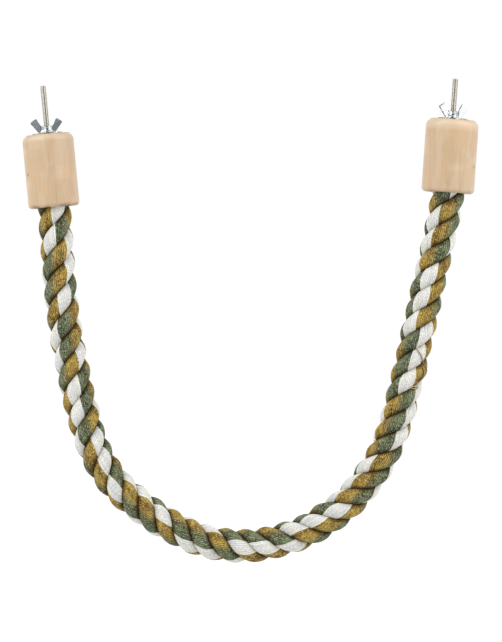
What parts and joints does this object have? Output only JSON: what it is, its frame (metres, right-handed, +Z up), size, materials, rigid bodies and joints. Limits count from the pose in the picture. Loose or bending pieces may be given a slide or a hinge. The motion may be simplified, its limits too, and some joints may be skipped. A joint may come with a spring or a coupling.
{
  "type": "rope bird perch",
  "caption": "Hanging rope perch for a cage: a thick twisted rope between turned wooden end blocks, each with a threaded stud, washer and wing nut.",
  "frame": {"origin": "centre of the left block's end face, on the left stud's axis, which is where the perch is clamped to the bars", "axes": "+X from the left stud to the right one, +Y from the front to the back, +Z up, with both studs on top and the rope hanging below"},
  "size_m": [0.2959, 0.0342, 0.3123],
  "materials": {
    "cotton_rope": "matte",
    "pale_wood": "matte",
    "zinc_thread": "satin",
    "zinc_sheet": "satin",
    "zinc_nut": "satin",
    "nail_steel": "satin",
    "white_tape": "matte"
  },
  "bodies": {
    "root": {"rope": "cotton_rope", "left_end_block": "pale_wood", "right_end_block": "pale_wood", "left_hanger_bolt": "zinc_thread", "right_hanger_bolt": "zinc_thread", "left_rope_nail": "nail_steel", "right_rope_nail": "nail_steel", "left_end_tape": "white_tape", "right_end_tape": "white_tape"},
    "left_washer": {"left_washer": "zinc_sheet"},
    "left_wing_nut": {"left_wing_nut": "zinc_nut"},
    "right_washer": {"right_washer": "zinc_sheet"},
    "right_wing_nut": {"right_wing_nut": "zinc_nut"}
  },
  "joints": [
    {"name": "left_washer_slide", "type": "slide", "parent": "root", "child": "left_washer", "axis": [-0.0924, 0, 0.9957], "range_m": [0, 0.0252]},
    {"name": "left_nut_turn", "type": "hinge", "parent": "left_washer", "child": "left_wing_nut", "pos_m": [0, 0, 0], "axis": [-0.0924, 0, 0.9957], "range_deg": [0, 12960]},
    {"name": "right_washer_slide", "type": "slide", "parent": "root", "child": "right_washer", "axis": [0.0698, 0, 0.9976], "range_m": [0, 0.0203]},
    {"name": "right_nut_turn", "type": "hinge", "parent": "right_washer", "child": "right_wing_nut", "pos_m": [0.263, 0, 0.0095], "axis": [0.0698, 0, 0.9976], "range_deg": [0, 10440]}
  ],
  "couplings": [
    {"joint": "left_nut_turn", "follows": "left_washer_slide", "rad_per_m": 8976},
    {"joint": "right_nut_turn", "follows": "right_washer_slide", "rad_per_m": 8976}
  ]
}
